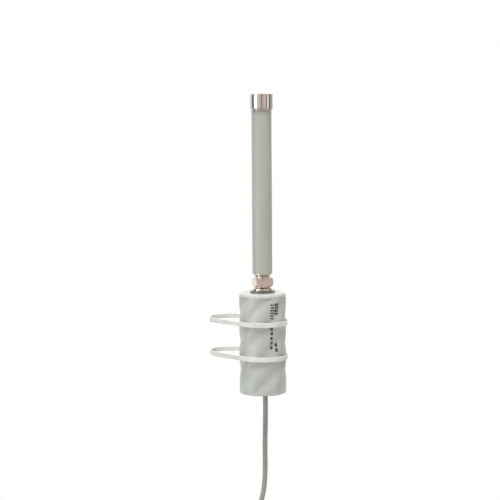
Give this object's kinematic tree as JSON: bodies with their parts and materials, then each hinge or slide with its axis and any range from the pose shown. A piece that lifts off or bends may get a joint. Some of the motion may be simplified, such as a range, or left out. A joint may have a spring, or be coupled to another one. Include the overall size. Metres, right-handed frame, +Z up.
{
  "type": "omnidirectional antenna",
  "caption": "Omnidirectional stick antenna screwed to the coaxial jack of a fluted tubular outdoor radio, strapped to a mast by cable ties, with a data lead below.",
  "frame": {"origin": "on the axis of the mast that the part is strapped to, midway between the two cable ties", "axes": "+Z up along the mast and the antenna; -Y points from the mast to the antenna; the part is placed symmetrically about X = 0"},
  "size_m": [0.0674, 0.0903, 0.5301],
  "materials": {
    "housing_plastic": "light grey outdoor plastic, soft gloss, fine mould texture",
    "seal_rubber": "black silicone rubber",
    "stainless_screws": "plain stainless steel",
    "grommet_rubber": "grey rubber",
    "gasket_rubber": "glossy dark grey rubber washer",
    "nickel_plate": "bright nickel plate",
    "nut_nickel": "bright nickel plate, warm reflections",
    "white_fluoropolymer": "white insulator",
    "gold_contact": "gold-plated brass",
    "carrier_plastic": "black moulded plastic",
    "green_board": "green solder mask",
    "jack_plastic": "black moulded plastic with a metal shell",
    "clear_plug": "clear polycarbonate",
    "cable_jacket": "matte grey cable jacket",
    "tinned_can": "tinned steel",
    "transformer_black": "black epoxy",
    "capacitor_sleeve": "printed-free dark sleeve",
    "coax_jacket": "thin black coaxial line",
    "tie_nylon": "natural white nylon",
    "coil_tie_plastic": "natural white nylon",
    "boot_plastic": "soft grey moulded boot",
    "radome_fibreglass": "grey gel-coated fibreglass, satin",
    "chrome_cap": "bright chrome plate",
    "radiator_brass": "plain brass",
    "spacer_foam": "white polyethylene foam"
  },
  "bodies": {
    "housing": {"housing_barrel": "housing_plastic", "top_end_cap": "housing_plastic", "bottom_end_cap": "housing_plastic", "end_cap_seals": "seal_rubber", "bottom_cap_screws": "stainless_screws", "cable_grommet": "grommet_rubber", "jack_gasket": "gasket_rubber", "jack_body": "nickel_plate", "jack_insulator": "white_fluoropolymer", "jack_contact": "gold_contact", "jack_lock_washer": "nickel_plate", "jack_lock_nut": "nickel_plate", "carrier": "carrier_plastic", "main_board": "green_board", "board_screws": "stainless_screws", "ethernet_jack": "jack_plastic", "inner_plug": "clear_plug", "inner_cable": "cable_jacket", "rf_shield_can": "tinned_can", "poe_transformer": "transformer_black", "capacitors": "capacitor_sleeve", "board_chips": "transformer_black", "pigtail_plug": "gold_contact", "coax_pigtail": "coax_jacket", "upper_mast_tie": "tie_nylon", "lower_mast_tie": "tie_nylon", "cable_drop": "cable_jacket", "cable_coil": "cable_jacket", "coil_ties": "coil_tie_plastic", "cable_tail": "cable_jacket", "plug_boot": "boot_plastic", "ethernet_plug": "clear_plug", "plug_contacts": "gold_contact"},
    "antenna": {"plug_body": "nickel_plate", "plug_pin": "gold_contact", "plug_insulator": "white_fluoropolymer", "plug_gasket": "seal_rubber", "snap_ring": "stainless_screws", "base_ferrule": "nickel_plate", "radome_tube": "radome_fibreglass", "top_cap": "chrome_cap", "top_cap_seal": "seal_rubber", "feed_coax": "coax_jacket", "choke_sleeve": "radiator_brass", "lower_radiator": "radiator_brass", "upper_radiator": "radiator_brass", "coil_former": "white_fluoropolymer", "phasing_coil": "radiator_brass", "foam_spacers": "spacer_foam"},
    "coupling_nut": {"coupling_nut": "nut_nickel"}
  },
  "joints": [
    {"name": "antenna_lift", "type": "slide", "parent": "housing", "child": "antenna", "axis": [0, 0, 1], "range_m": [0, 0.00635]},
    {"name": "nut_spin", "type": "hinge", "parent": "antenna", "child": "coupling_nut", "pos_m": [0, -0.04385, 0.058], "axis": [0, 0, 1], "range_deg": [0, 2161]}
  ],
  "couplings": [
    {"joint": "nut_spin", "follows": "antenna_lift", "rad_per_m": 5936.9}
  ]
}
